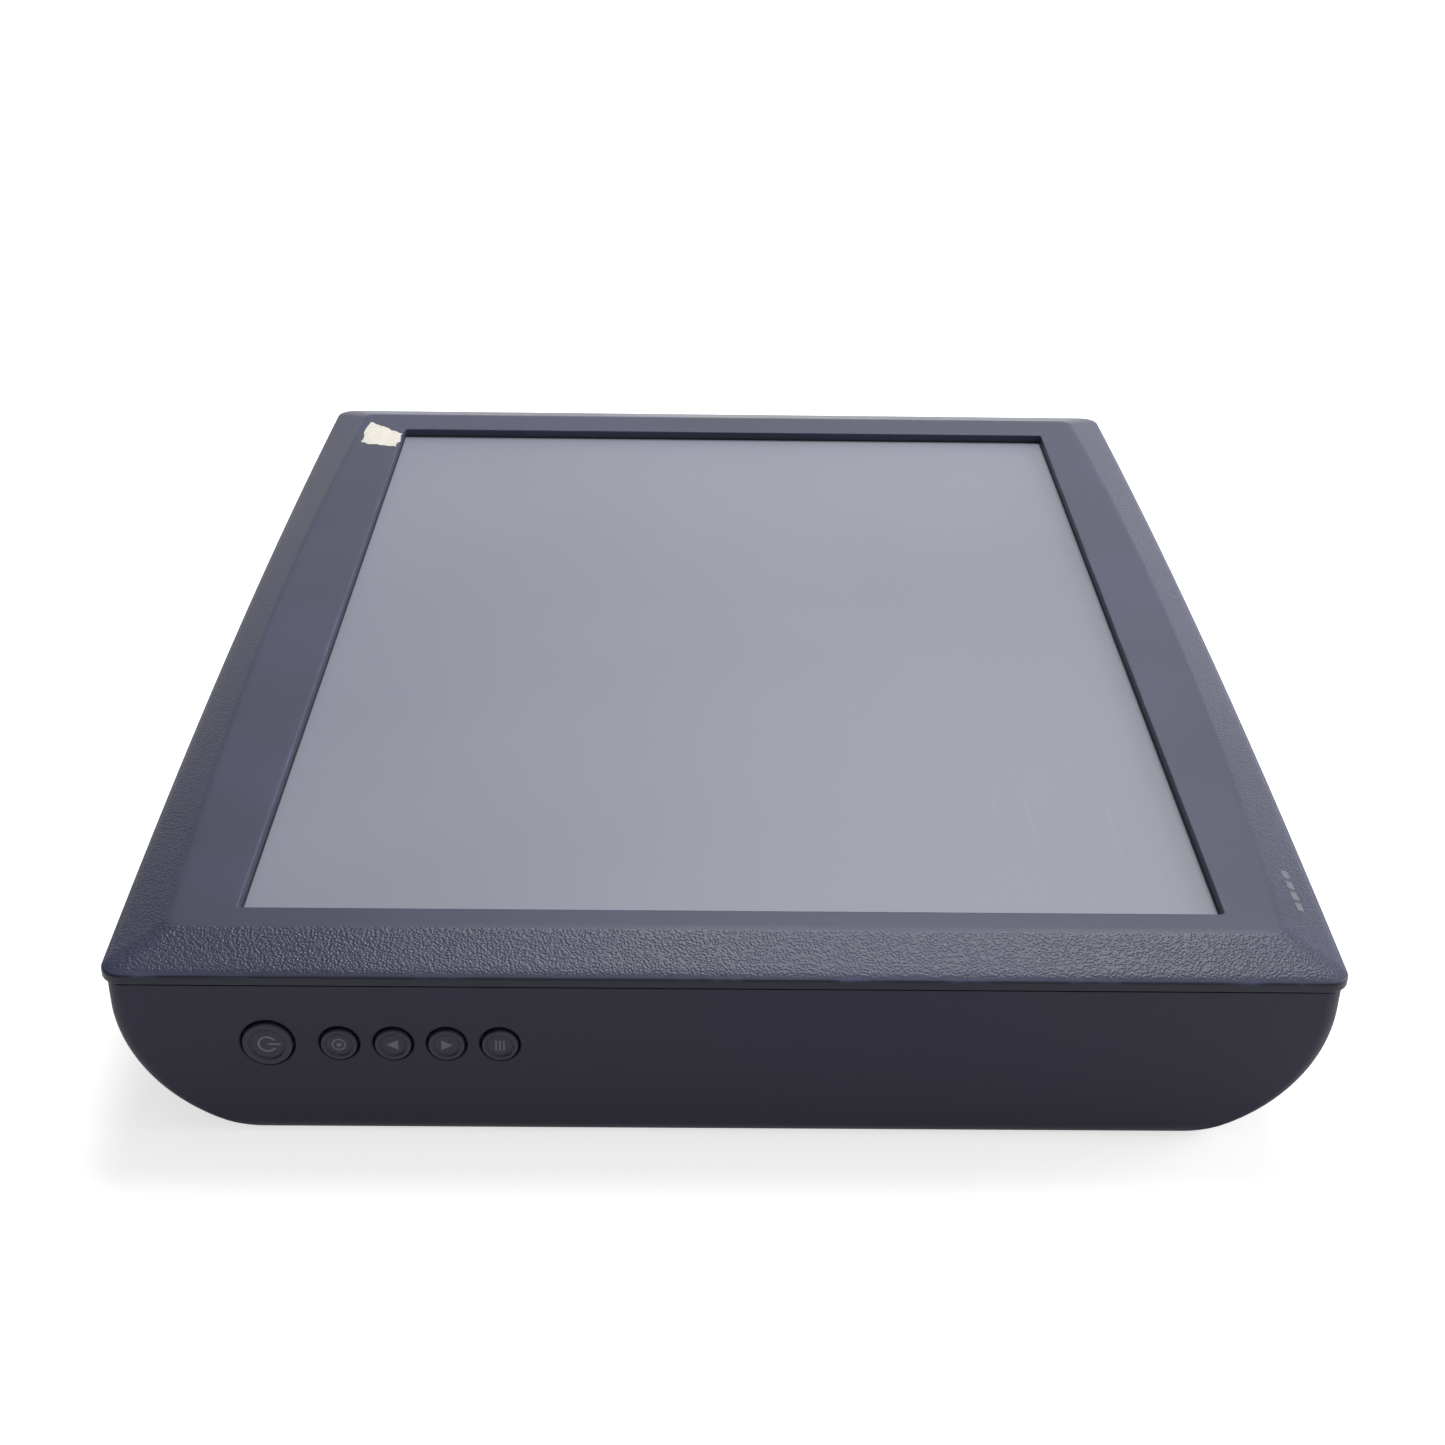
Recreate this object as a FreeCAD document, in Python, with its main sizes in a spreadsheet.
"""Point-of-sale touchscreen head, lying on its back with the screen up.

Frame: X is the display's bottom-to-top direction, Y runs along its long side, Z is out of the screen.
The origin is the middle of the back's resting face.  Millimetres throughout.
"""
import FreeCAD, Part
import math
import os
import re
import Sketcher
from FreeCAD import Placement, Rotation, Vector

doc = FreeCAD.newDocument("TouchTerminal")
sheet = doc.addObject("Spreadsheet::Sheet", "Sizes")

SIZES = {
    # case outline
    "case_width": 289, "case_length": 358, "case_depth": 50, "case_bow": 2.4, "case_corner": 5.4,
    # front bezel: flat face, slope, rim and walls
    "slope_side": 10.4, "slope_end": 14.6, "slope_drop": 4, "face_bow": 5, "face_corner": 3.5,
    "rim_depth": 2.7, "bezel_wall": 2.5, "parting_gap": 0.6, "rim_round": 0.8,
    # rear cover: curved long sides, rounded short ends
    "shell_inset": 1, "shell_wall": 2.8, "side_curve_run": 36, "side_curve_rise": 36, "end_round": 3.6,
    "tongue_rise": 2, "tongue_clear": 0.3,
    # screen opening, touch glass and its seals
    "open_width": 231, "open_length": 307, "open_shift_x": 1.45, "open_shift_y": -3.65,
    "glass_border": 6, "glass_thick": 3, "gasket_thick": 0.5, "gasket_inset": 0.3,
    "spacer_thick": 1, "spacer_inset": 1,
    # display module
    "panel_width": 253.5, "panel_length": 326.5, "panel_depth": 11.5, "frame_sheet": 0.6,
    "cell_thick": 2, "cell_edge": 1.5, "film_thick": 0.8, "guide_thick": 6, "guide_edge": 11,
    "mirror_thick": 0.4, "tray_floor": 1.7, "tray_wall": 1.6, "tray_clear": 0.1,
    "lamp_radius": 1.2, "lamp_offset": 2.8, "lamp_end": 4, "lamp_shell": 0.3,
    # chassis under the display module
    "chassis_thick": 1.2, "chassis_edge": 6, "ear_side": 11.6, "ear_y": 100, "ear_half": 7,
    "ear_screw_radius": 1.5, "ear_post_radius": 3,
    # case screws: wells in the back, posts inside
    "case_screw_side": 20, "near_screw_inset": 4, "far_screw_inset": 10, "case_screw_radius": 1.5,
    "well_radius": 3.4, "well_wall": 1.2, "well_depth": 14, "post_joint": 24, "post_radius": 3.6,
    "head_radius": 2.8, "head_height": 2.2, "thread_clear": 0.05, "shank_clear": 0.2, "bite": 9,
    # wall-mount bracket and its window in the back
    "mount_pitch": 75, "mount_hole_radius": 2, "mount_window": 94,
    "hat_width": 110, "hat_sheet": 2, "hat_half": 57, "hat_foot": 12,
    "nut_radius": 3.6, "nut_height": 4, "hat_screw_x": 42,
    # main board and the bay for its sockets
    "bay_near_x": -98, "bay_deep_x": -66, "bay_half_y": 52, "bay_depth": 20, "bay_wall": 2,
    "board_sheet": 1.6, "board_bottom": 18, "board_start_x": -62.5, "board_end_x": 50,
    "board_half_y": 50, "board_inset": 5, "pillar_radius": 2.4,
    "video_y": -33, "serial_y": 1, "wide_socket_half": 15.4, "wide_socket_rise": 12.4,
    "usb_y": 26, "usb_half": 6, "usb_rise": 11, "jack_y": 40.5, "jack_half": 4.6, "jack_rise": 11,
    "socket_clear": 0.3, "socket_proud": 0.6, "socket_back_x": -50,
    # back vents
    "vent_width": 3, "vent_length": 28, "vent_pitch": 7, "vent_x": 66,
    "hat_screw_radius": 1.5, "board_screw_radius": 1.2, "board_hole_clear": 0.2, "small_head_radius": 2.3,
    "small_head_height": 1.6,
    # boards beside the bracket
    "side_board_z": 24, "lamp_board_x": 5, "lamp_board_half": 55, "lamp_board_y": 115,
    "lamp_board_side": 15, "lamp_pillar_reach": 42, "coil_reach": 26, "coil_drop": 7,
    "touch_board_x": 92, "touch_board_half": 17, "touch_board_y": -10, "touch_board_side": 28,
    "socket_x": 90, "socket_y": 61, "socket_half": 12,
    "socket_side": 3, "socket_drop": 5, "window_clear": 2,
    # cables held inside the case
    "lead_radius": 1.2, "ribbon_radius": 1.5, "tail_thick": 0.4, "tail_half": 6, "tail_out": 129.2,
    "tail_low": 27, "plug_height": 4.4,
    # keys on the near side
    "key_drop": 23.6, "big_key_radius": 5.8, "small_key_radius": 4.2, "key_gap": 0.5,
    "power_x": -105.5, "select_x": -89.05, "down_x": -76.65, "up_x": -64.35, "menu_x": -52.05,
    "key_proud": 0.7, "key_edge": 0.4, "dish_depth": 0.25, "flange_lip": 1.2, "flange_thick": 1,
    "flange_clear": 0.3, "stem_radius": 2, "stem_clear": 0.08, "key_travel": 0.8,
    "guide_gap": 1.3, "guide_sheet": 1.4, "guide_below": 8.8, "guide_above": 3.6, "guide_side": 8,
    "switch_half": 3, "switch_height": 3.5, "plunger_radius": 1.7, "plunger_clear": 0.1,
    "stem_length": 1.8, "stem_stand_off": 1.3, "plunger_tail": 0.9, "key_board_sheet": 1.6,
    "key_post_radius": 2.2, "key_screw_radius": 1.1,
    "foot_left_x": -97, "foot_right_x": -58, "foot_reach": 14, "foot_half": 4.5, "foot_sheet": 1.4,
    "foot_post_radius": 3.5,
}
for row, (name, size) in enumerate(SIZES.items(), start=1):
    sheet.set("A%d" % row, name)
    sheet.set("B%d" % row, str(size))
    sheet.setAlias("B%d" % row, name)
doc.recompute()

# Levels, written in the sheet's names so that every piece follows the same values.
HALF_X = "(case_width / 2)"
HALF_Y = "(case_length / 2)"
RIM_Z = "(case_depth - slope_drop)"
BEZEL_Z = "(case_depth - slope_drop - rim_depth)"
SHELL_Z = "(case_depth - slope_drop - rim_depth - parting_gap)"
SHELL_X = "(case_width / 2 - shell_inset)"
SHELL_Y = "(case_length / 2 - shell_inset)"
FACE_UNDER = "(case_depth - bezel_wall)"
GLASS_TOP = "(case_depth - bezel_wall - gasket_thick)"
GLASS_LOW = "(case_depth - bezel_wall - gasket_thick - glass_thick)"
PANEL_TOP = "(case_depth - bezel_wall - gasket_thick - glass_thick - spacer_thick)"
PANEL_LOW = "(%s - panel_depth)" % PANEL_TOP
CHASSIS_LOW = "(%s - panel_depth - chassis_thick)" % PANEL_TOP
KEY_Z = "(case_depth - key_drop)"
GUIDE_LOW = "(case_depth - key_drop - guide_below)"
GUIDE_HIGH = "(case_depth - key_drop + guide_above)"
EAR_X = "(case_width / 2 - ear_side)"
OPEN_X = "(open_width / 2)"
OPEN_Y = "(open_length / 2)"

# The keys' depths along Y, from the outer wall inwards.
WALL_Y = "(-%s)" % SHELL_Y
INNER_WALL_Y = "(shell_wall - %s)" % SHELL_Y
FLANGE_Y = "(%s + flange_clear)" % INNER_WALL_Y
GUIDE_Y = "(%s + flange_thick + guide_gap)" % FLANGE_Y
STEM_END_Y = "(%s + guide_sheet + stem_length)" % GUIDE_Y
SWITCH_Y = "(%s + stem_stand_off)" % STEM_END_Y
KEY_BOARD_Y = "(%s + switch_height)" % SWITCH_Y

nodes = []


def bound(text):
    """The expression with each size's name led by the sheet's."""
    return re.sub(r"[a-z][a-z_]+", lambda word: "Sizes." + word.group() if word.group() in SIZES
                  else word.group(), str(text))


def value(text):
    return float(sheet.evalExpression(bound(text)))


def node(piece, name):
    """Name a finished piece after the file it is written to."""
    piece.Label = name
    nodes.append(piece)
    return piece


# ---- solids made of primitives and booleans ----------------------------------------------------

def place(piece, x, y, z):
    for axis, text in zip("xyz", (x, y, z)):
        piece.setExpression("Placement.Base." + axis, bound(text))
    return piece


def block(name, x, y, z):
    """A box between two limits on each axis, each limit an expression."""
    piece = doc.addObject("Part::Box", name)
    for size, (low, high) in zip(("Length", "Width", "Height"), (x, y, z)):
        piece.setExpression(size, bound("(%s) - (%s)" % (high, low)))
    return place(piece, x[0], y[0], z[0])


TURNS = {"z": Rotation(), "y": Rotation(Vector(1, 0, 0), -90), "x": Rotation(Vector(0, 1, 0), 90)}


def rod(name, at, radius, length, along="z"):
    piece = doc.addObject("Part::Cylinder", name)
    piece.Placement = Placement(Vector(), TURNS[along])
    piece.setExpression("Radius", bound(radius))
    piece.setExpression("Height", bound(length))
    return place(piece, *at)


def cone(name, at, start_radius, end_radius, length, along="z"):
    piece = doc.addObject("Part::Cone", name)
    piece.Placement = Placement(Vector(), TURNS[along])
    piece.setExpression("Radius1", bound(start_radius))
    piece.setExpression("Radius2", bound(end_radius))
    piece.setExpression("Height", bound(length))
    return place(piece, *at)


def join(name, pieces):
    piece = doc.addObject("Part::MultiFuse", name)
    piece.Shapes = pieces
    return piece


def cut(name, base, tool):
    piece = doc.addObject("Part::Cut", name)
    piece.Base = base
    piece.Tool = tool
    return piece


def shared(name, first, second):
    piece = doc.addObject("Part::Common", name)
    piece.Base = first
    piece.Tool = second
    return piece


def group(name, pieces):
    """Separate solids that share one node, such as identical screws."""
    piece = doc.addObject("Part::Compound", name)
    piece.Links = pieces
    return piece


# ---- sketches ----------------------------------------------------------------------------------

def hold(sketch, kind, *where, size=None):
    """Add a constraint; one with a size is bound to the sheet."""
    if size is None:
        return sketch.addConstraint(Sketcher.Constraint(kind, *where))
    index = sketch.addConstraint(Sketcher.Constraint(kind, *where, value(size)))
    sketch.setExpression("Constraints[%d]" % index, bound(size))
    return index


def polygon(sketch, points):
    """A closed outline whose corners are pairs of expressions."""
    spots = [Vector(value(x), value(y), 0) for x, y in points]
    first = sketch.GeometryCount
    count = len(points)
    for index, spot in enumerate(spots):
        sketch.addGeometry(Part.LineSegment(spot, spots[(index + 1) % count]))
    for index, (x, y) in enumerate(points):
        line = first + index
        hold(sketch, "Coincident", line, 2, first + (index + 1) % count, 1)
        hold(sketch, "DistanceX", -1, 1, line, 1, size=x)
        hold(sketch, "DistanceY", -1, 1, line, 1, size=y)


def rectangle(sketch, x, y):
    polygon(sketch, [(x[0], y[0]), (x[1], y[0]), (x[1], y[1]), (x[0], y[1])])


def frame_window(sketch, half_x, half_y):
    """A rectangle about the middle of the screen opening."""
    rectangle(sketch, ("open_shift_x - (%s)" % half_x, "open_shift_x + (%s)" % half_x),
              ("open_shift_y - (%s)" % half_y, "open_shift_y + (%s)" % half_y))


def circle(sketch, x, y, radius):
    spot = Vector(value(x), value(y), 0)
    index = sketch.addGeometry(Part.Circle(spot, Vector(0, 0, 1), value(radius)))
    hold(sketch, "DistanceX", -1, 1, index, 3, size=x)
    hold(sketch, "DistanceY", -1, 1, index, 3, size=y)
    hold(sketch, "Radius", index, size=radius)


def bowed_outline(sketch, half_x, half_y, bow, corner):
    """A rectangle with rounded corners whose two long sides bow outwards by an arc's height."""
    reach, length, swell, round_off = (value(text) for text in (half_x, half_y, bow, corner))
    bend = (length ** 2 + swell ** 2) / (2 * swell)
    mid = reach - bend
    side = length - round_off
    across = mid + math.sqrt((bend - round_off) ** 2 - side ** 2)
    lean = math.atan2(side, across - mid)
    up = Vector(0, 0, 1)

    def arc(x, y, radius, start, end):
        return sketch.addGeometry(Part.ArcOfCircle(Part.Circle(Vector(x, y, 0), up, radius), start, end))

    right = arc(mid, 0, bend, -lean, lean)
    corner_1 = arc(across, side, round_off, lean, math.pi / 2)
    far = sketch.addGeometry(Part.LineSegment(Vector(across, length, 0), Vector(-across, length, 0)))
    corner_2 = arc(-across, side, round_off, math.pi / 2, math.pi - lean)
    left = arc(-mid, 0, bend, math.pi - lean, math.pi + lean)
    corner_3 = arc(-across, -side, round_off, math.pi + lean, math.pi * 3 / 2)
    near = sketch.addGeometry(Part.LineSegment(Vector(-across, -length, 0), Vector(across, -length, 0)))
    corner_4 = arc(across, -side, round_off, -math.pi / 2, -lean)
    loop = [right, corner_1, far, corner_2, left, corner_3, near, corner_4]
    for index, edge in enumerate(loop):
        hold(sketch, "Tangent", edge, 2, loop[(index + 1) % len(loop)], 1)
    radius = "((%s)^2 + (%s)^2) / (2 * (%s))" % (half_y, bow, bow)
    for edge, sign in ((right, ""), (left, "-")):
        hold(sketch, "PointOnObject", edge, 3, -1)
        hold(sketch, "DistanceX", -1, 1, edge, 3, size="%s((%s) - %s)" % (sign, half_x, radius))
        hold(sketch, "Radius", edge, size=radius)
    for edge, sign in ((far, ""), (near, "-")):
        hold(sketch, "Horizontal", edge)
        hold(sketch, "DistanceY", -1, 1, edge, 1, size="%s(%s)" % (sign, half_y))
    for edge in (corner_1, corner_2, corner_3, corner_4):
        hold(sketch, "Radius", edge, size=corner)


def outline(name, level, half_x, half_y, bow, corner):
    """A free bowed outline at a level, for a loft or a prism."""
    sketch = doc.addObject("Sketcher::SketchObject", name)
    bowed_outline(sketch, half_x, half_y, bow, corner)
    sketch.setExpression("Placement.Base.z", bound(level))
    return sketch


def loft(name, sections, ruled):
    piece = doc.addObject("Part::Loft", name)
    piece.Sections = sections
    piece.Solid = True
    piece.Ruled = ruled
    return piece


def prism(name, sketch, height):
    piece = doc.addObject("Part::Extrusion", name)
    piece.Base = sketch
    piece.DirMode = "Normal"
    piece.Solid = True
    piece.setExpression("LengthFwd", bound(height))
    return piece


# ---- PartDesign bodies -------------------------------------------------------------------------

def new_body(name):
    return node(doc.addObject("PartDesign::Body", name), name)


def sketch_on(body, name, level, role="XY_Plane"):
    plane = next(part for part in body.Origin.OriginFeatures if part.Role == role)
    sketch = body.newObject("Sketcher::SketchObject", name)
    sketch.AttachmentSupport = [(plane, "")]
    sketch.MapMode = "FlatFace"
    sketch.setExpression("AttachmentOffset.Base.z", bound(level))
    return sketch


def pad(body, sketch, length):
    feature = body.newObject("PartDesign::Pad", sketch.Name + "_pad")
    feature.Profile = sketch
    feature.setExpression("Length", bound(length))
    return feature


def pocket(body, sketch, length, reverse=True):
    """Cut along the sketch's normal when reversed; fail if nothing is cut."""
    before = body.Shape.Volume
    feature = body.newObject("PartDesign::Pocket", sketch.Name + "_pocket")
    feature.Profile = sketch
    feature.Reversed = reverse
    feature.setExpression("Length", bound(length))
    doc.recompute()
    if body.Shape.Volume >= before:
        raise RuntimeError("%s cuts nothing" % feature.Name)
    return feature


# ---- case --------------------------------------------------------------------------------------

def body_outline(body, name, level, half_x, half_y, bow, corner):
    sketch = sketch_on(body, name, level)
    bowed_outline(sketch, half_x, half_y, bow, corner)
    return sketch


def body_loft(body, kind, name, sections):
    feature = body.newObject("PartDesign::" + kind, name)
    feature.Profile = sections[0]
    feature.Sections = sections[1:]
    feature.Ruled = True
    return feature


CASE_POSTS = [(side + "(case_width / 2 - case_screw_side)", row)
              for row in ("(near_screw_inset + %s)" % INNER_WALL_Y, "(case_length / 2 - far_screw_inset)")
              for side in ("-", "0 * ", "")]
EAR_POSTS = [(side + EAR_X, end + "ear_y") for side in ("-", "") for end in ("-", "")]


def front_bezel():
    """Flat face, slope and rim, hollow inside, with posts for the case and chassis screws."""
    body = new_body("front_bezel")
    rim = body_outline(body, "bezel_rim", BEZEL_Z, HALF_X, HALF_Y, "case_bow", "case_corner")
    pad(body, rim, "rim_depth - rim_round")
    slope = [body_outline(body, "bezel_rim_%d" % step, "%s - rim_round * %s" % (RIM_Z, below),
                          "%s - rim_round * %s" % (HALF_X, within), "%s - rim_round * %s" % (HALF_Y, within),
                          "case_bow", "case_corner")
             for step, (below, within) in enumerate([(1, 0), (0.5, 0.08), (0.15, 0.3), (0, 0.6)])]
    slope.append(body_outline(body, "bezel_face", "case_depth", HALF_X + " - slope_side",
                              HALF_Y + " - slope_end", "face_bow", "face_corner"))
    body_loft(body, "AdditiveLoft", "bezel_slope", slope)
    inner_x = HALF_X + " - bezel_wall"
    inner_y = HALF_Y + " - bezel_wall"
    inner_corner = "case_corner - bezel_wall"
    hollow = [body_outline(body, "bezel_hollow_low", BEZEL_Z, inner_x, inner_y, "case_bow", inner_corner),
              body_outline(body, "bezel_hollow_rim", RIM_Z + " - bezel_wall / 2", inner_x, inner_y,
                           "case_bow", inner_corner),
              body_outline(body, "bezel_hollow_top", FACE_UNDER, HALF_X + " - slope_side - 0.5",
                           HALF_Y + " - slope_end - 0.5", "face_bow", "face_corner - 0.5")]
    doc.recompute()
    body_loft(body, "SubtractiveLoft", "bezel_hollow", hollow)
    doc.recompute()
    opening = sketch_on(body, "screen_opening", "case_depth")
    frame_window(opening, OPEN_X, OPEN_Y)
    pocket(body, opening, "bezel_wall + 1", reverse=False)
    bezel_posts(body, "case_post", CASE_POSTS, "post_joint", "case_depth - 3.4",
                "post_radius", "case_screw_radius")
    bezel_posts(body, "ear_post", EAR_POSTS, PANEL_LOW, FACE_UNDER, "ear_post_radius", "ear_screw_radius")


def bezel_posts(body, name, places, low, high, radius, screw_radius):
    posts = sketch_on(body, name, low)
    for x, y in places:
        circle(posts, x, y, radius)
    pad(body, posts, "%s - %s" % (high, low))
    doc.recompute()
    holes = sketch_on(body, name + "_hole", low)
    for x, y in places:
        circle(holes, x, y, "%s + thread_clear" % screw_radius)
    pocket(body, holes, "bite + 1")


def shell_form(name, inset):
    """The rear cover's form, or its hollow when inset by the wall: elliptic long sides, round ends."""
    half_x = "(%s - %s)" % (SHELL_X, inset)
    half_y = "(%s - %s)" % (SHELL_Y, inset)
    corner = "(case_corner - shell_inset - %s)" % inset
    sections = [outline(name + "_top", SHELL_Z, half_x, half_y, "case_bow", corner)]
    for turn in (0, 12, 24, 36, 48, 58, 67, 75, 83, 90):
        rise = "(side_curve_rise - %s) * (1 - sin(%d))" % (inset, turn)
        drop = "max(end_round - %s - %s; 0)" % (inset, rise)
        pull = "(end_round - {0} - sqrt((end_round - {0})^2 - ({1})^2))".format(inset, drop)
        reach = "%s - (side_curve_run - %s) * (1 - cos(%d))" % (half_x, inset, turn)
        sections.append(outline("%s_%d" % (name, turn), "%s + %s" % (inset, rise), reach,
                                "%s - %s" % (half_y, pull), "case_bow", corner))
    return loft(name, sections, ruled=False)


KEYS = [("power", "big_key_radius"), ("select", "small_key_radius"), ("down", "small_key_radius"),
        ("up", "small_key_radius"), ("menu", "small_key_radius")]
FOOT_Y = "(%s + foot_reach)" % GUIDE_Y
FEET = [("foot_left_x", FOOT_Y), ("foot_right_x", FOOT_Y)]
BAY_X = ("bay_near_x", "bay_deep_x")
SOCKETS = [("video", "video_y", "wide_socket_half", "wide_socket_rise"),
           ("serial", "serial_y", "wide_socket_half", "wide_socket_rise"),
           ("usb", "usb_y", "usb_half", "usb_rise"), ("power", "jack_y", "jack_half", "jack_rise")]


def vent(name, start, y):
    """One round-ended slot through the back."""
    half = "vent_width / 2"
    end = "(%s + vent_length)" % start
    middle = block(name, (start, end), ("%s - %s" % (y, half), "%s + %s" % (y, half)),
                   ("-1", "shell_wall + 1"))
    ends = [rod(name + "_end", (x, y, "-1"), half, "shell_wall + 2") for x in (start, end)]
    return join(name + "_slot", [middle] + ends)


def vents():
    """A row above the bracket window, and one on each side of the socket bay."""
    rows = [vent("vent_high", "vent_x", "%d * vent_pitch" % step) for step in range(-9, 10)]
    for step in range(10):
        reach = "(bay_half_y + bay_wall + 3 * vent_pitch + %d * vent_pitch)" % step
        rows += [vent("vent_low", "bay_near_x", sign + reach) for sign in ("", "-")]
    return rows


def rear_cover():
    """Moulded shell with posts, screw wells, a bracket window, a socket bay, vents and key holes."""
    form = shell_form("shell_form", "0")
    shell = cut("shell_skin", form, shell_form("shell_hollow", "shell_wall"))
    posts = [rod("cover_well", (x, y, "0"), "well_radius + well_wall", "well_depth + well_wall")
             for x, y in CASE_POSTS]
    posts += [rod("cover_post", (x, y, "0"), "post_radius", "post_joint") for x, y in CASE_POSTS]
    posts += [rod("foot_post", (x, y, "0"), "foot_post_radius", GUIDE_LOW) for x, y in FEET]
    posts.append(block("bay_box", ("bay_near_x - bay_wall", "bay_deep_x + bay_wall"),
                       ("-bay_half_y - bay_wall", "bay_half_y + bay_wall"), ("0", "bay_depth + bay_wall")))
    inside = shared("cover_ribs", join("cover_posts", posts), form)
    lip_outer = outline("tongue_outer", SHELL_Z + " - 1", HALF_X + " - bezel_wall - tongue_clear",
                        HALF_Y + " - bezel_wall - tongue_clear", "case_bow",
                        "case_corner - bezel_wall - tongue_clear")
    lip_inner = outline("tongue_inner", SHELL_Z + " - 1", SHELL_X + " - shell_wall",
                        SHELL_Y + " - shell_wall", "case_bow", "case_corner - shell_inset - shell_wall")
    tongue = cut("tongue", prism("tongue_solid", lip_outer, "tongue_rise + 1"),
                 prism("tongue_hollow", lip_inner, "tongue_rise + 1"))
    tools = [rod("screw_well", (x, y, "-1"), "well_radius", "well_depth + 1") for x, y in CASE_POSTS]
    tools += [rod("screw_way", (x, y, "0"), "case_screw_radius + shank_clear", "post_joint + 1")
              for x, y in CASE_POSTS]
    tools += [rod("foot_hole", (x, y, GUIDE_LOW + " - bite"), "key_screw_radius + thread_clear", "bite + 1")
              for x, y in FEET]
    tools.append(block("bracket_window", ("-mount_window / 2", "mount_window / 2"),
                       ("-mount_window / 2", "mount_window / 2"), ("-1", "shell_wall + 1")))
    tools.append(block("bay_space", BAY_X, ("-bay_half_y", "bay_half_y"), ("-1", "bay_depth")))
    for name, y, half, rise in SOCKETS:
        tools.append(block(name + "_way", ("bay_deep_x - 1", "bay_deep_x + bay_wall + 1"),
                           ("%s - %s - socket_clear" % (y, half), "%s + %s + socket_clear" % (y, half)),
                           ("board_bottom - %s - socket_clear" % rise, "board_bottom")))
    for name, radius in KEYS:
        tools.append(rod(name + "_key_hole", (name + "_x", WALL_Y + " - 1", KEY_Z),
                         radius + " + key_gap", "shell_wall + 2", along="y"))
    solid = join("cover_solid", [shell, inside, tongue])
    node(cut("rear_cover", solid, join("cover_cuts", tools + vents())), "rear_cover")


# ---- screen and display module -----------------------------------------------------------------

PANEL_X = "(panel_width / 2)"
PANEL_Y = "(panel_length / 2)"
TRAY_FLOOR = "(%s + tray_floor)" % PANEL_LOW
CELL_LOW = "(%s - frame_sheet - cell_thick)" % PANEL_TOP
FILM_LOW = "(%s - film_thick)" % CELL_LOW
LAMP_X = "(%s - guide_edge + lamp_offset)" % PANEL_X
LAMP_Z = "((%s + %s) / 2)" % (TRAY_FLOOR, FILM_LOW)


def slab(name, inset_x, inset_y, low, high):
    """A plate about the middle of the screen opening."""
    body = new_body(name)
    sketch = sketch_on(body, name + "_plan", low)
    frame_window(sketch, inset_x, inset_y)
    pad(body, sketch, "(%s) - (%s)" % (high, low))
    doc.recompute()
    return body


def ring(name, outer, inner, low, high):
    body = slab(name, outer[0], outer[1], low, high)
    window = sketch_on(body, name + "_window", low)
    frame_window(window, *inner)
    pocket(body, window, "%s - %s" % (high, low))
    return body


def screen():
    glass = ("%s + glass_border" % OPEN_X, "%s + glass_border" % OPEN_Y)
    slab("touch_glass", glass[0], glass[1], GLASS_LOW, GLASS_TOP)
    ring("touch_gasket", glass, (OPEN_X + " - gasket_inset", OPEN_Y + " - gasket_inset"),
         GLASS_TOP, FACE_UNDER)
    ring("spacer_tape", glass, (OPEN_X + " + spacer_inset", OPEN_Y + " + spacer_inset"),
         PANEL_TOP, GLASS_LOW)


def inset(amount):
    return ("%s - (%s)" % (PANEL_X, amount), "%s - (%s)" % (PANEL_Y, amount))


def display_module():
    """Steel front frame, glass cell, films, light guide, mirror sheet and tray, with two lamps."""
    frame = ring("panel_frame", inset("0"), (OPEN_X + " + spacer_inset", OPEN_Y + " + spacer_inset"),
                 TRAY_FLOOR, PANEL_TOP)
    well = sketch_on(frame, "panel_frame_well", TRAY_FLOOR)
    frame_window(well, *inset("frame_sheet"))
    pocket(frame, well, "%s - frame_sheet - %s" % (PANEL_TOP, TRAY_FLOOR))
    slab("display_cell", *inset("cell_edge"), CELL_LOW, PANEL_TOP + " - frame_sheet")
    slab("diffuser_films", *inset("frame_sheet + tray_clear + tray_wall + 0.5"), FILM_LOW, CELL_LOW)
    slab("light_guide", *inset("guide_edge"), TRAY_FLOOR + " + mirror_thick", FILM_LOW)
    slab("mirror_sheet", *inset("guide_edge"), TRAY_FLOOR, TRAY_FLOOR + " + mirror_thick")
    tray = slab("panel_tray", *inset("frame_sheet + tray_clear"), PANEL_LOW, CELL_LOW)
    hollow = sketch_on(tray, "panel_tray_hollow", TRAY_FLOOR)
    frame_window(hollow, *inset("frame_sheet + tray_clear + tray_wall"))
    pocket(tray, hollow, "%s - %s" % (CELL_LOW, TRAY_FLOOR))
    lamps()


def lamps():
    """Lamp tubes along both long edges of the light guide, each in a folded mirror channel."""
    tubes, channels, holders = [], [], []
    half_length = "(%s - guide_edge + lamp_end)" % PANEL_Y
    start_y = "(open_shift_y - %s)" % half_length
    for sign in ("", "-"):
        middle = "(open_shift_x + %s%s)" % (sign, LAMP_X)
        tubes.append(rod("lamp", (middle, start_y, LAMP_Z), "lamp_radius", "2 * " + half_length, "y"))
        channels.append(lamp_channel(middle, sign))
        for end in ("-", ""):
            low = "(open_shift_y %s (%s - guide_edge + 2) - 2)" % (end or "+", PANEL_Y)
            holder = block("lamp_grip", (middle + " - 2.2", middle + " + 2.2"), (low, low + " + 3.8"),
                           (TRAY_FLOOR, FILM_LOW))
            hole = rod("lamp_grip_hole", (middle, low + " - 1", LAMP_Z),
                       "lamp_radius + thread_clear", "6", "y")
            holders.append(cut("lamp_holder", holder, hole))
    node(group("backlight_lamps", tubes), "backlight_lamps")
    node(group("lamp_mirrors", channels), "lamp_mirrors")
    node(group("lamp_holders", holders), "lamp_holders")


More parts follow.
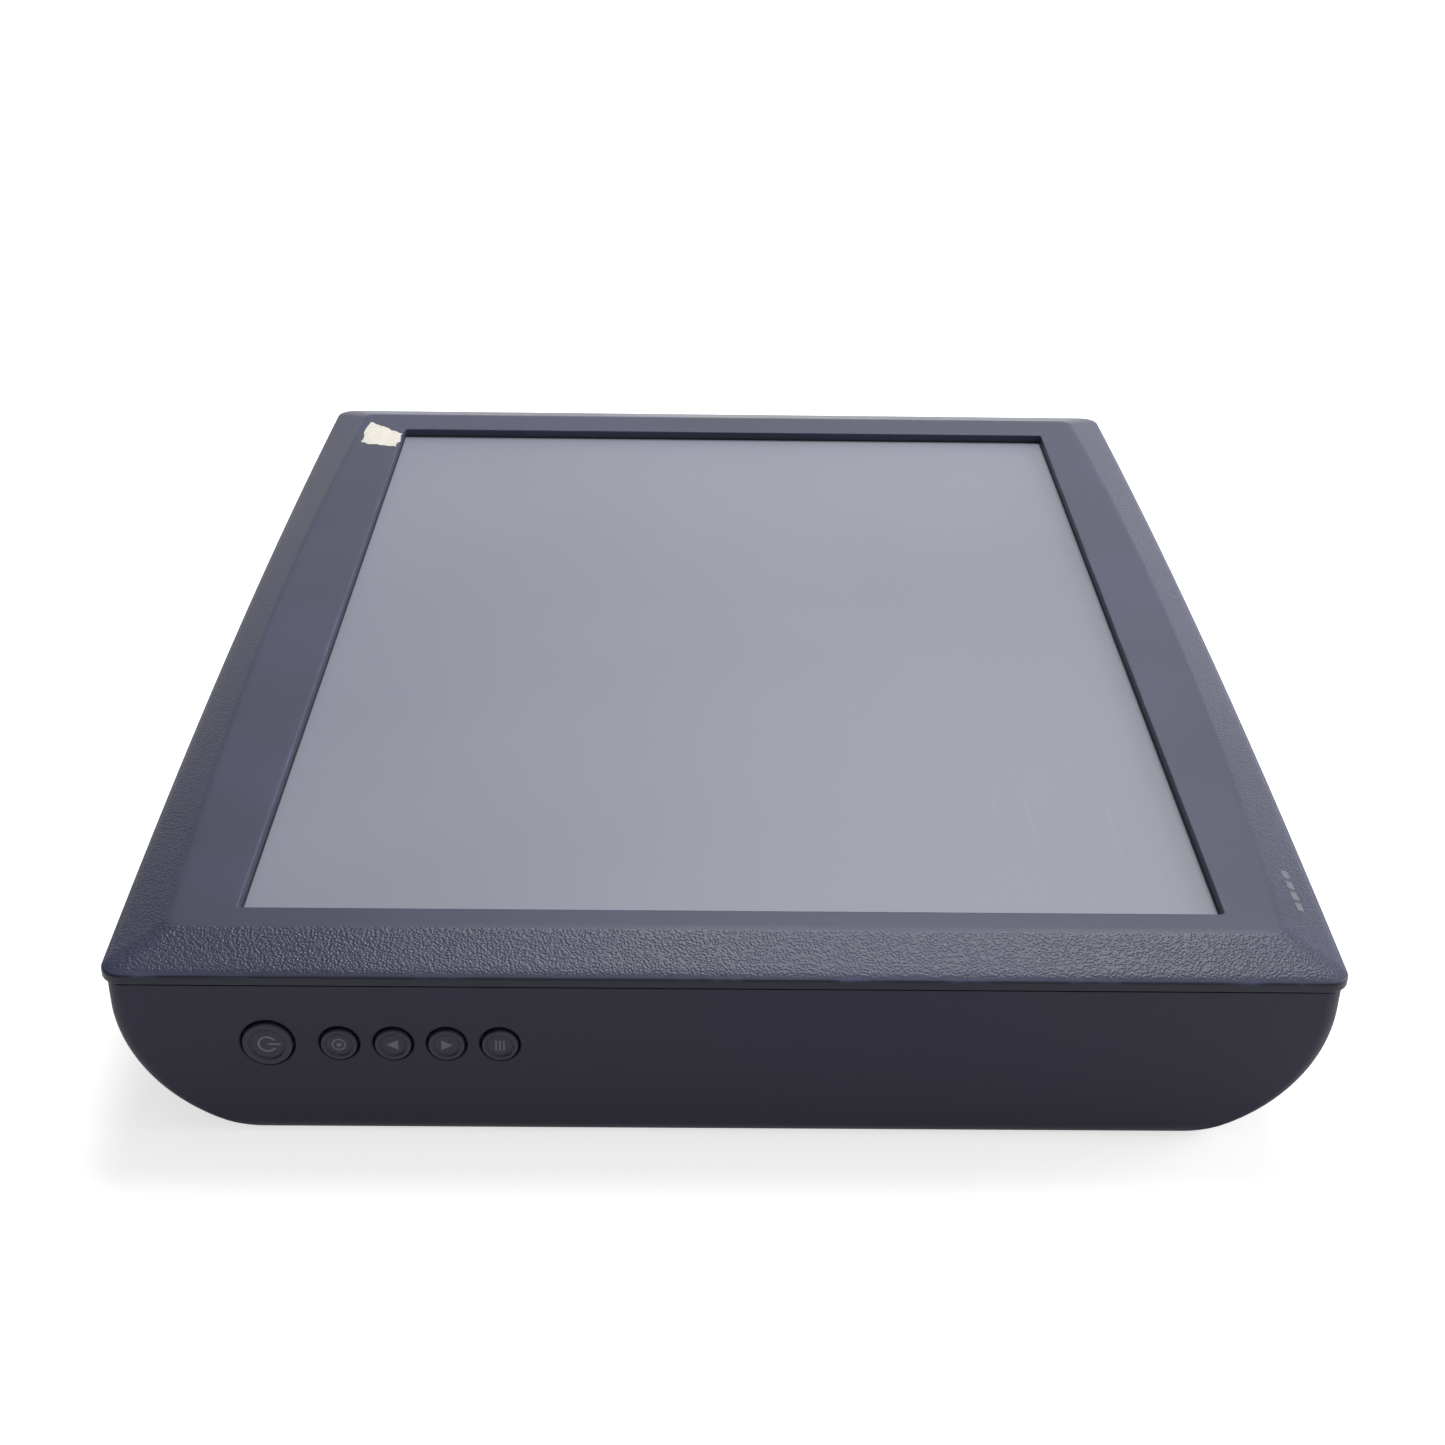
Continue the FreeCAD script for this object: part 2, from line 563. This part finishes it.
def lamp_channel(middle, sign):
    """A three-sided channel, open towards the light guide."""
    reach = "(%s - guide_edge)" % PANEL_Y
    length = ("open_shift_y - " + reach, "open_shift_y + " + reach)
    outer = block("mirror_fold", (middle + " - lamp_offset + 0.05", middle + " + lamp_offset - 0.05"),
                  length, (TRAY_FLOOR, FILM_LOW))
    shift = "lamp_shell" if sign else "-lamp_shell"
    inner = block("mirror_space", ("%s - lamp_offset + %s" % (middle, shift),
                                   "%s + lamp_offset + %s" % (middle, shift)),
                  (length[0] + " - 1", length[1] + " + 1"),
                  (TRAY_FLOOR + " + lamp_shell", FILM_LOW + " - lamp_shell"))
    return cut("lamp_mirror", outer, inner)


# ---- chassis, mounting bracket and fasteners ---------------------------------------------------

HAT_TOP = "(shell_wall + hat_sheet)"
HAT_SCREWS = [(side + "hat_screw_x", end + "(hat_half + hat_foot / 2)") for side in ("-", "")
              for end in ("-", "")]
MOUNT_HOLES = [(side + "mount_pitch / 2", end + "mount_pitch / 2") for side in ("-", "")
               for end in ("-", "")]
MAIN_PILLARS = [(x, side + "(board_half_y - board_inset)") for side in ("-", "")
                for x in ("socket_back_x + board_inset - 1.5", "board_end_x - board_inset")]
LAMP_PILLARS = [("lamp_board_x %s lamp_pillar_reach" % side, "lamp_board_y") for side in "+-"]
TOUCH_PILLARS = [("touch_board_x", "touch_board_y %s (touch_board_side - board_inset)" % side)
                 for side in "+-"]


def circles_cut(body, name, level, places, radius, depth):
    sketch = sketch_on(body, name, level)
    for x, y in places:
        circle(sketch, x, y, radius)
    return pocket(body, sketch, depth)


def chassis():
    """Steel plate that carries the display module and hangs from the bezel's ear posts."""
    body = slab("chassis", *inset("chassis_edge"), CHASSIS_LOW, PANEL_LOW)
    ears = sketch_on(body, "chassis_ears", CHASSIS_LOW)
    for end in ("-", ""):
        rectangle(ears, ("-%s - ear_post_radius" % EAR_X, "%s + ear_post_radius" % EAR_X),
                  (end + "ear_y - ear_half", end + "ear_y + ear_half"))
    pad(body, ears, "chassis_thick")
    doc.recompute()
    circles_cut(body, "ear_holes", CHASSIS_LOW, EAR_POSTS, "ear_screw_radius + shank_clear",
                "chassis_thick")
    circles_cut(body, "hat_screw_holes", CHASSIS_LOW, HAT_SCREWS, "hat_screw_radius + thread_clear",
                "chassis_thick")
    window = sketch_on(body, "panel_socket_window", CHASSIS_LOW)
    rectangle(window, ("socket_x - socket_half - window_clear", "socket_x + socket_half + window_clear"),
              ("socket_y - socket_side - window_clear", "socket_y + socket_side + window_clear"))
    pocket(body, window, "chassis_thick")


def mount_bracket():
    """Folded steel bracket whose floor shows through the back and takes a stand or wall arm."""
    half = "hat_width / 2"
    width = ("-%s" % half, half)
    parts = [block("hat_floor", width, ("-hat_half", "hat_half"), ("shell_wall", HAT_TOP))]
    for low, high, foot in (("-hat_half", "hat_sheet - hat_half", ("-hat_half - hat_foot", "-hat_half")),
                            ("hat_half - hat_sheet", "hat_half", ("hat_half", "hat_half + hat_foot"))):
        parts.append(block("hat_leg", width, (low, high), ("shell_wall", CHASSIS_LOW)))
        parts.append(block("hat_foot_pad", width, foot, (CHASSIS_LOW + " - hat_sheet", CHASSIS_LOW)))
    holes = [rod("hat_screw_hole", (x, y, CHASSIS_LOW + " - hat_sheet - 1"),
                 "hat_screw_radius + shank_clear", "hat_sheet + 2") for x, y in HAT_SCREWS]
    holes += [rod("mount_hole", (x, y, "0"), "mount_hole_radius", HAT_TOP + " + 1") for x, y in MOUNT_HOLES]
    node(cut("bracket_solid", join("hat", parts), join("hat_holes", holes)), "mount_bracket")
    nuts = [cut("nut", rod("nut_blank", (x, y, HAT_TOP), "nut_radius", "nut_height"),
                rod("nut_hole", (x, y, "shell_wall"), "mount_hole_radius", "nut_height + hat_sheet + 1"))
            for x, y in MOUNT_HOLES]
    node(group("nuts", nuts), "mount_nuts")


def screw(name, x, y, seat, radius, length, head=("head_radius", "head_height")):
    """A pan-head screw driven upwards from below its seat, with a cross recess."""
    low = "(%s - %s)" % (seat, head[1])
    shank = rod(name + "_shank", (x, y, low), radius, "%s + %s" % (head[1], length))
    top = cone(name + "_head", (x, y, low), head[0] + " - 0.6", head[0], "0.6")
    rest = rod(name + "_head_rim", (x, y, low + " + 0.6"), head[0], head[1] + " - 0.6")
    solid = join(name + "_solid", [shank, top, rest])
    arms = [block(name + "_slot", ("%s - %s" % (x, a), "%s + %s" % (x, a)),
                  ("%s - %s" % (y, b), "%s + %s" % (y, b)), (low + " - 1", low + " + 1"))
            for a, b in (("1.4", "0.3"), ("0.3", "1.4"))]
    return cut(name, solid, join(name + "_cross", arms))


SMALL_HEAD = ("small_head_radius", "small_head_height")


def screws():
    node(group("case_screw_set", [screw("case_screw", x, y, "well_depth", "case_screw_radius",
                                        "post_joint - well_depth + bite") for x, y in CASE_POSTS]),
         "case_screws")
    node(group("ear_screw_set", [screw("ear_screw", x, y, CHASSIS_LOW, "ear_screw_radius",
                                       "chassis_thick + bite - 2") for x, y in EAR_POSTS]),
         "chassis_screws")
    node(group("hat_screw_set", [screw("hat_screw", x, y, CHASSIS_LOW + " - hat_sheet",
                                       "hat_screw_radius", "hat_sheet + chassis_thick")
                                 for x, y in HAT_SCREWS]), "bracket_screws")
    board = [screw("main_screw", x, y, "board_bottom", "board_screw_radius", "board_sheet + 4", SMALL_HEAD)
             for x, y in MAIN_PILLARS]
    board += [screw("side_screw", x, y, "side_board_z", "board_screw_radius", "board_sheet + 3", SMALL_HEAD)
              for x, y in LAMP_PILLARS + TOUCH_PILLARS]
    node(group("board_screw_set", board), "board_screws")


def pillar(name, x, y, start):
    """A hexagonal brass pillar from a board up to the chassis, bored for its screw."""
    hexagon = doc.addObject("Part::Prism", name + "_hexagon")
    hexagon.Polygon = 6
    hexagon.setExpression("Circumradius", bound("pillar_radius * 1.1547"))
    hexagon.setExpression("Height", bound("%s - (%s)" % (CHASSIS_LOW, start)))
    place(hexagon, x, y, start)
    return cut(name, hexagon, rod(name + "_bore", (x, y, start + " - 1"),
                                  "board_screw_radius + thread_clear", "5.5"))


# ---- boards, sockets and chips -----------------------------------------------------------------

def board(name, x, y, low, holes):
    body = new_body(name)
    sketch = sketch_on(body, name + "_plan", low)
    rectangle(sketch, x, y)
    pad(body, sketch, "board_sheet")
    doc.recompute()
    circles_cut(body, name + "_holes", low, holes, "board_screw_radius + board_hole_clear", "board_sheet")


def chips(name, base, upward, rows):
    """Components on one face of a board: (x, y, half x, half y, height) of each."""
    blocks = []
    for x, y, half_x, half_y, height in rows:
        levels = (base, "%s + %s" % (base, height)) if upward else ("%s - %s" % (base, height), base)
        blocks.append(block(name + "_chip", ("%s - %s" % (x, half_x), "%s + %s" % (x, half_x)),
                            ("%s - %s" % (y, half_y), "%s + %s" % (y, half_y)), levels))
    return blocks


def boards():
    board("main_board", ("board_start_x", "board_end_x"), ("-board_half_y", "board_half_y"),
          "board_bottom", MAIN_PILLARS)
    board("lamp_board", ("lamp_board_x - lamp_board_half", "lamp_board_x + lamp_board_half"),
          ("lamp_board_y - lamp_board_side", "lamp_board_y + lamp_board_side"), "side_board_z", LAMP_PILLARS)
    board("touch_board", ("touch_board_x - touch_board_half", "touch_board_x + touch_board_half"),
          ("touch_board_y - touch_board_side", "touch_board_y + touch_board_side"),
          "side_board_z", TOUCH_PILLARS)
    pillars = [pillar("main_pillar", x, y, "board_bottom + board_sheet") for x, y in MAIN_PILLARS]
    pillars += [pillar("side_pillar", x, y, "side_board_z + board_sheet")
                for x, y in LAMP_PILLARS + TOUCH_PILLARS]
    node(group("pillars", pillars), "board_pillars")
    top = "board_bottom + board_sheet"
    main = chips("main", top, True, [(-4, 4, 10, 10, 1.6), (18, 24, 5, 9, 1.2), (18, -18, 5, 9, 1.2),
                                     (-30, -26, 7, 7, 1.6), (-32, 20, 6, 5, 1.2), (30, 2, 4, 4, 2.6),
                                     (4, -34, 5, 3, 1)])
    main += [rod("main_capacitor", (x, y, top), "3.2", "7") for x, y in
             (("-40", "38"), ("-30", "38"), ("-20", "38"), ("36", "-34"))]
    node(group("main_chip_set", main), "main_board_chips")
    coils = chips("coil", "side_board_z", False,
                  [("lamp_board_x %s coil_reach" % side, "lamp_board_y + 2", 10, 7, "coil_drop")
                   for side in "+-"])
    node(group("coil_set", coils), "lamp_board_coils")
    small = chips("lamp", "side_board_z", False, [("lamp_board_x", "lamp_board_y", 5, 4, 1.6),
                                                  ("lamp_board_x + 11", "lamp_board_y - 6", 3, 3, 2.4),
                                                  ("lamp_board_x - 11", "lamp_board_y - 6", 3, 3, 2.4)])
    small += chips("touch", "side_board_z", False, [("touch_board_x", "touch_board_y", 6, 6, 1.4),
                                                    ("touch_board_x + 8", "touch_board_y + 12", 3, 5, 1.2)])
    node(group("small_chip_set", small), "side_board_chips")


MOUTH_X = "(bay_deep_x - socket_proud)"


def socket_body(name, y, half, rise):
    return block(name + "_body", (MOUTH_X, "socket_back_x"), ("%s - %s" % (y, half), "%s + %s" % (y, half)),
                 ("board_bottom - " + rise, "board_bottom"))


def pin_socket(name, y, rows):
    """A wide socket with a slant-sided nose, screw posts and rows of pin holes, facing the bay."""
    middle = "(board_bottom - wide_socket_rise / 2)"
    nose = doc.addObject("Sketcher::SketchObject", name + "_nose")
    nose.Placement = Placement(Vector(), Rotation(Vector(1, 1, 1), 120))
    polygon(nose, [("8.4", "4"), ("-8.4", "4"), ("-7.2", "-4"), ("7.2", "-4")])
    nose.setExpression("Placement.Base.x", bound(MOUTH_X + " - 5"))
    nose.setExpression("Placement.Base.y", bound(y))
    nose.setExpression("Placement.Base.z", bound(middle))
    posts = [rod(name + "_post", (MOUTH_X + " - 4", "%s %s 12.4" % (y, side), middle), "2.3", "4.5", "x")
             for side in "+-"]
    solid = join(name + "_solid", [socket_body(name, y, "wide_socket_half", "wide_socket_rise"),
                                   prism(name + "_nose_solid", nose, "5.5")] + posts)
    pitch = 2.3
    holes = [rod(name + "_pin", (MOUTH_X + " - 6", "%s + %s" % (y, (spot - (count - 1) / 2) * pitch),
                                 "%s + %s" % (middle, height)), "0.5", "5", "x")
             for count, height in rows for spot in range(count)]
    holes += [rod(name + "_thread", (MOUTH_X + " - 5", "%s %s 12.4" % (y, side), middle), "1.4", "6", "x")
              for side in "+-"]
    node(cut(name, solid, join(name + "_holes", holes)), name)


def sockets():
    pin_socket("video_socket", "video_y", [(5, 2), (5, 0), (5, -2)])
    pin_socket("serial_socket", "serial_y", [(5, 1.4), (4, -1.4)])
    middle = "(board_bottom - usb_rise / 2)"
    mouth = block("usb_mouth", (MOUTH_X + " - 1", MOUTH_X + " + 9"), ("usb_y - 4.2", "usb_y + 4.2"),
                  (middle + " - 3.8", middle + " + 3.8"))
    tongue = block("usb_tongue", (MOUTH_X + " + 1", MOUTH_X + " + 9"), ("usb_y - 2.7", "usb_y + 2.7"),
                   (middle + " - 1.5", middle + " + 1.5"))
    node(cut("usb_solid", socket_body("usb", "usb_y", "usb_half", "usb_rise"),
             cut("usb_space", mouth, tongue)), "usb_socket")
    middle = "(board_bottom - jack_rise / 2)"
    well = rod("jack_well", (MOUTH_X + " - 1", "jack_y", middle), "3.1", "10", "x")
    pin = rod("jack_pin", (MOUTH_X + " + 1", "jack_y", middle), "1", "8", "x")
    node(cut("jack_solid", socket_body("jack", "jack_y", "jack_half", "jack_rise"),
             cut("jack_space", well, pin)), "power_jack")


# ---- keys --------------------------------------------------------------------------------------

def key(name, radius):
    """A dished cap on a flanged stem, and the switch plunger that it presses."""
    x = name + "_x"
    face = "(%s - key_proud)" % WALL_Y
    cap = join(name + "_cap", [
        cone(name + "_edge", (x, face, KEY_Z), radius + " - key_edge", radius, "key_edge", "y"),
        rod(name + "_disc", (x, face + " + key_edge", KEY_Z), radius,
            "%s - %s - key_edge" % (FLANGE_Y, face), "y"),
        rod(name + "_flange", (x, FLANGE_Y, KEY_Z), radius + " + flange_lip", "flange_thick", "y"),
        rod(name + "_stem", (x, FLANGE_Y, KEY_Z), "stem_radius", "%s - %s" % (STEM_END_Y, FLANGE_Y), "y")])
    dish = cone(name + "_dish", (x, face, KEY_Z), radius + " * 0.76", radius + " * 0.68",
                "dish_depth", "y")
    node(cut(name + "_shape", cap, dish), name + "_key")
    node(rod(name + "_plunger_pin", (x, STEM_END_Y, KEY_Z), "plunger_radius",
             "stem_stand_off + plunger_tail", "y"), name + "_plunger")


KEY_POSTS = ["power_x - 5.6", "(power_x + select_x) / 2", "menu_x + 5.6"]
KEY_BACK_Y = "(%s + key_board_sheet)" % KEY_BOARD_Y
GUIDE_X = ("power_x - guide_side", "menu_x + guide_side")


def key_guide():
    """Moulded strip behind the wall: it guides the stems and carries the key board on posts."""
    parts = [block("guide_strip", GUIDE_X, (GUIDE_Y, GUIDE_Y + " + guide_sheet"), (GUIDE_LOW, GUIDE_HIGH))]
    parts += [rod("guide_post", (x, GUIDE_Y, KEY_Z), "key_post_radius",
                  "%s - %s" % (KEY_BOARD_Y, GUIDE_Y), "y") for x in KEY_POSTS]
    parts += [block("guide_foot", (x + " - foot_half", x + " + foot_half"), (GUIDE_Y, y + " + foot_half"),
                    (GUIDE_LOW, GUIDE_LOW + " + foot_sheet")) for x, y in FEET]
    holes = [rod("stem_hole", (name + "_x", GUIDE_Y + " - 1", KEY_Z), "stem_radius + stem_clear",
                 "guide_sheet + 2", "y") for name, _ in KEYS]
    holes += [rod("guide_post_hole", (x, KEY_BOARD_Y + " - 4", KEY_Z), "key_screw_radius + thread_clear",
                  "5", "y") for x in KEY_POSTS]
    holes += [rod("foot_way", (x, y, GUIDE_LOW + " - 1"), "key_screw_radius + shank_clear", "foot_sheet + 2")
              for x, y in FEET]
    node(cut("guide_solid", join("guide", parts), join("guide_holes", holes)), "key_guide")


def key_board():
    blank = block("key_board_blank", GUIDE_X, (KEY_BOARD_Y, KEY_BACK_Y),
                  (GUIDE_LOW + " + foot_sheet + 0.4", GUIDE_HIGH))
    holes = [rod("key_board_hole", (x, KEY_BOARD_Y + " - 1", KEY_Z), "key_screw_radius + shank_clear",
                 "key_board_sheet + 2", "y") for x in KEY_POSTS]
    node(cut("key_board_solid", blank, join("key_board_holes", holes)), "key_board")
    bodies = []
    for name, _ in KEYS:
        x = name + "_x"
        body = block("switch_block", (x + " - switch_half", x + " + switch_half"), (SWITCH_Y, KEY_BOARD_Y),
                     (KEY_Z + " - switch_half", KEY_Z + " + switch_half"))
        bore = rod("switch_bore", (x, SWITCH_Y + " - 1", KEY_Z), "plunger_radius + plunger_clear",
                   "plunger_tail + key_travel + 1.4", "y")
        bodies.append(cut("switch", body, bore))
    node(group("switches", bodies), "key_switches")
    fixings = [upright_screw("foot_screw", x, y) for x, y in FEET]
    fixings += [board_back_screw(x) for x in KEY_POSTS]
    node(group("key_fixings", fixings), "key_screws")


def upright_screw(name, x, y):
    seat = GUIDE_LOW + " + foot_sheet"
    return join(name, [rod(name + "_shank", (x, y, seat + " - bite + 1"), "key_screw_radius", "bite"),
                       rod(name + "_head", (x, y, seat), "small_head_radius", "small_head_height")])


def board_back_screw(x):
    return join("back_screw", [
        rod("back_screw_shank", (x, KEY_BOARD_Y + " - 3.5", KEY_Z), "key_screw_radius",
            "key_board_sheet + 4", "y"),
        rod("back_screw_head", (x, KEY_BACK_Y, KEY_Z), "small_head_radius", "small_head_height", "y")])


# ---- cables held inside ------------------------------------------------------------------------

def corner_arc(before, corner, after):
    """The arc that rounds a corner of the route, taking 0.45 of the shorter run."""
    into, out = corner - before, after - corner
    reach = 0.45 * min(into.Length, out.Length)
    into.normalize()
    out.normalize()
    half = into.getAngle(out) / 2
    radius = reach / math.tan(half)
    depth = radius / math.cos(half) - radius
    inward = (out - into).normalize()
    return Part.Arc(corner - into * reach, corner + inward * depth, corner + out * reach)


def tube(name, points, radius):
    """A round cable along straight runs joined by tangent arcs."""
    spots = [Vector(*(value(number) for number in point)) for point in points]
    edges = []
    start = spots[0]
    for before, corner, after in zip(spots, spots[1:], spots[2:]):
        arc = corner_arc(before, corner, after)
        edges.append(Part.LineSegment(start, arc.StartPoint).toShape())
        edges.append(arc.toShape())
        start = arc.EndPoint
    edges.append(Part.LineSegment(start, spots[-1]).toShape())
    path = Part.Wire(edges)
    section = Part.Wire(Part.Circle(spots[0], spots[1] - spots[0], value(radius)).toShape())
    piece = doc.addObject("Part::Feature", name)
    piece.Shape = path.makePipeShell([section], True, False)
    expected = math.pi * value(radius) ** 2 * path.Length
    if abs(piece.Shape.Volume / expected - 1) > 0.01:
        raise RuntimeError("%s has the wrong volume" % name)
    return piece


def plug(name, x, y, low):
    return block(name, x, y, (low, low + " + plug_height"))


def cables():
    """Panel cable, lamp leads, key ribbon and the touch glass's flat tail, with their plugs."""
    board_top = "board_bottom + board_sheet"
    main_z = "(board_bottom + board_sheet + plug_height / 2)"
    side_z = "(side_board_z - plug_height / 2)"
    entry_z = "(%s - socket_drop + ribbon_radius + 0.1)" % PANEL_LOW
    panel_socket = block("panel_socket_block", ("socket_x - socket_half", "socket_x + socket_half"),
                         ("socket_y - socket_side", "socket_y + socket_side"),
                         (PANEL_LOW + " - socket_drop", PANEL_LOW))
    lamp_plug_ends = [("lamp_board_x + lamp_board_half - 6", "lamp_board_x + lamp_board_half"),
                      ("lamp_board_x - lamp_board_half", "lamp_board_x - lamp_board_half + 6")]
    plugs = [plug("panel_plug", ("board_end_x - 12", "board_end_x - 4"), ("24", "36"), board_top),
             plug("key_plug", ("board_start_x + 0.5", "board_start_x + 6.5"), ("-36", "-28"), board_top),
             block("key_board_plug", ("foot_left_x + 5", "foot_left_x + 13"),
                   (KEY_BACK_Y, KEY_BACK_Y + " + 4.5"), (KEY_Z + " - 4.4", KEY_Z))]
    plugs += [block("lamp_plug", ends, ("lamp_board_y - 3", "lamp_board_y + 3"),
                    ("side_board_z - plug_height", "side_board_z")) for ends in lamp_plug_ends]
    touch_edge = "touch_board_x + touch_board_half"
    plugs.append(block("touch_plug", (touch_edge + " - 7", touch_edge),
                       ("touch_board_y - tail_half - 2", "touch_board_y + tail_half + 2"),
                       ("side_board_z + board_sheet", "side_board_z + board_sheet + 3")))
    node(group("board_plug_set", plugs), "board_plugs")
    node(panel_socket, "panel_socket")
    node(tube("panel_cable_tube", [
        ("board_end_x - 4", "30", main_z), ("board_end_x + 16", "30", main_z),
        ("socket_x", "socket_y - socket_side - 22", entry_z),
        ("socket_x", "socket_y - socket_side", entry_z)], "ribbon_radius"), "panel_cable")
    node(tube("key_cable_tube", [
        ("foot_left_x + 9", KEY_BACK_Y + " + 4.5", KEY_Z + " - 2.2"),
        ("foot_left_x + 9", KEY_BACK_Y + " + 24", KEY_Z + " - 2.2"),
        ("board_start_x + 3.5", "-bay_half_y - 50", main_z),
        ("board_start_x + 3.5", "-36", main_z)], "ribbon_radius - 0.2"), "key_cable")
    end_y = "(open_shift_y + %s)" % PANEL_Y
    leads = []
    for side in "+-":
        def across(reach):
            return "lamp_board_x %s (lamp_board_half + %s)" % (side, reach)
        leads.append(tube("lamp_lead", [
            (across("50"), end_y, LAMP_Z),
            (across("50"), end_y + " + 7.5", LAMP_Z),
            (across("49"), end_y + " + 7", LAMP_Z + " - 13"),
            (across("30"), end_y + " - 10", side_z + " + 0.5"),
            (across("12"), "lamp_board_y", side_z),
            (across("0"), "lamp_board_y", side_z)], "lead_radius"))
    node(group("lead_set", leads), "lamp_leads")
    touch_tail()


def touch_tail():
    """Flat flexible tail from the glass's edge, down past the display module, to the touch board."""
    y = ("touch_board_y - tail_half", "touch_board_y + tail_half")
    glass_edge = "open_shift_x + %s + glass_border" % OPEN_X
    out = ("tail_out", "tail_out + tail_thick")
    high = "(%s + 0.6)" % GLASS_LOW
    strip = join("tail_strip", [
        block("tail_top", (glass_edge, out[1]), y, (high, high + " + tail_thick")),
        block("tail_drop", out, y, ("tail_low", high + " + tail_thick")),
        block("tail_end", ("touch_board_x + touch_board_half", out[1]), y,
              ("tail_low", "tail_low + tail_thick"))])
    node(strip, "touch_tail")


def build():
    front_bezel()
    rear_cover()
    screen()
    display_module()
    chassis()
    mount_bracket()
    screws()
    boards()
    sockets()
    for name, radius in KEYS:
        key(name, radius)
    key_guide()
    key_board()
    cables()
    doc.recompute()


def check():
    """Stop if any object failed or any finished piece has no valid shape."""
    for item in doc.Objects:
        if "Invalid" in item.State or "Error" in item.State:
            raise RuntimeError("%s failed: %s" % (item.Name, item.State))
    for piece in nodes:
        if piece.Shape.isNull() or not piece.Shape.isValid() or not piece.Shape.Solids:
            raise RuntimeError("%s has no valid shape" % piece.Label)


def write():
    os.makedirs("parts", exist_ok=True)
    for piece in nodes:
        piece.Shape.exportStep(os.path.join("parts", piece.Label + ".step"))
        box = piece.Shape.BoundBox
        print("%-18s %3d solids %10.1f mm3  x %7.1f %7.1f  y %7.1f %7.1f  z %5.1f %5.1f" % (
            piece.Label, len(piece.Shape.Solids), piece.Shape.Volume,
            box.XMin, box.XMax, box.YMin, box.YMax, box.ZMin, box.ZMax))


build()
check()
write()
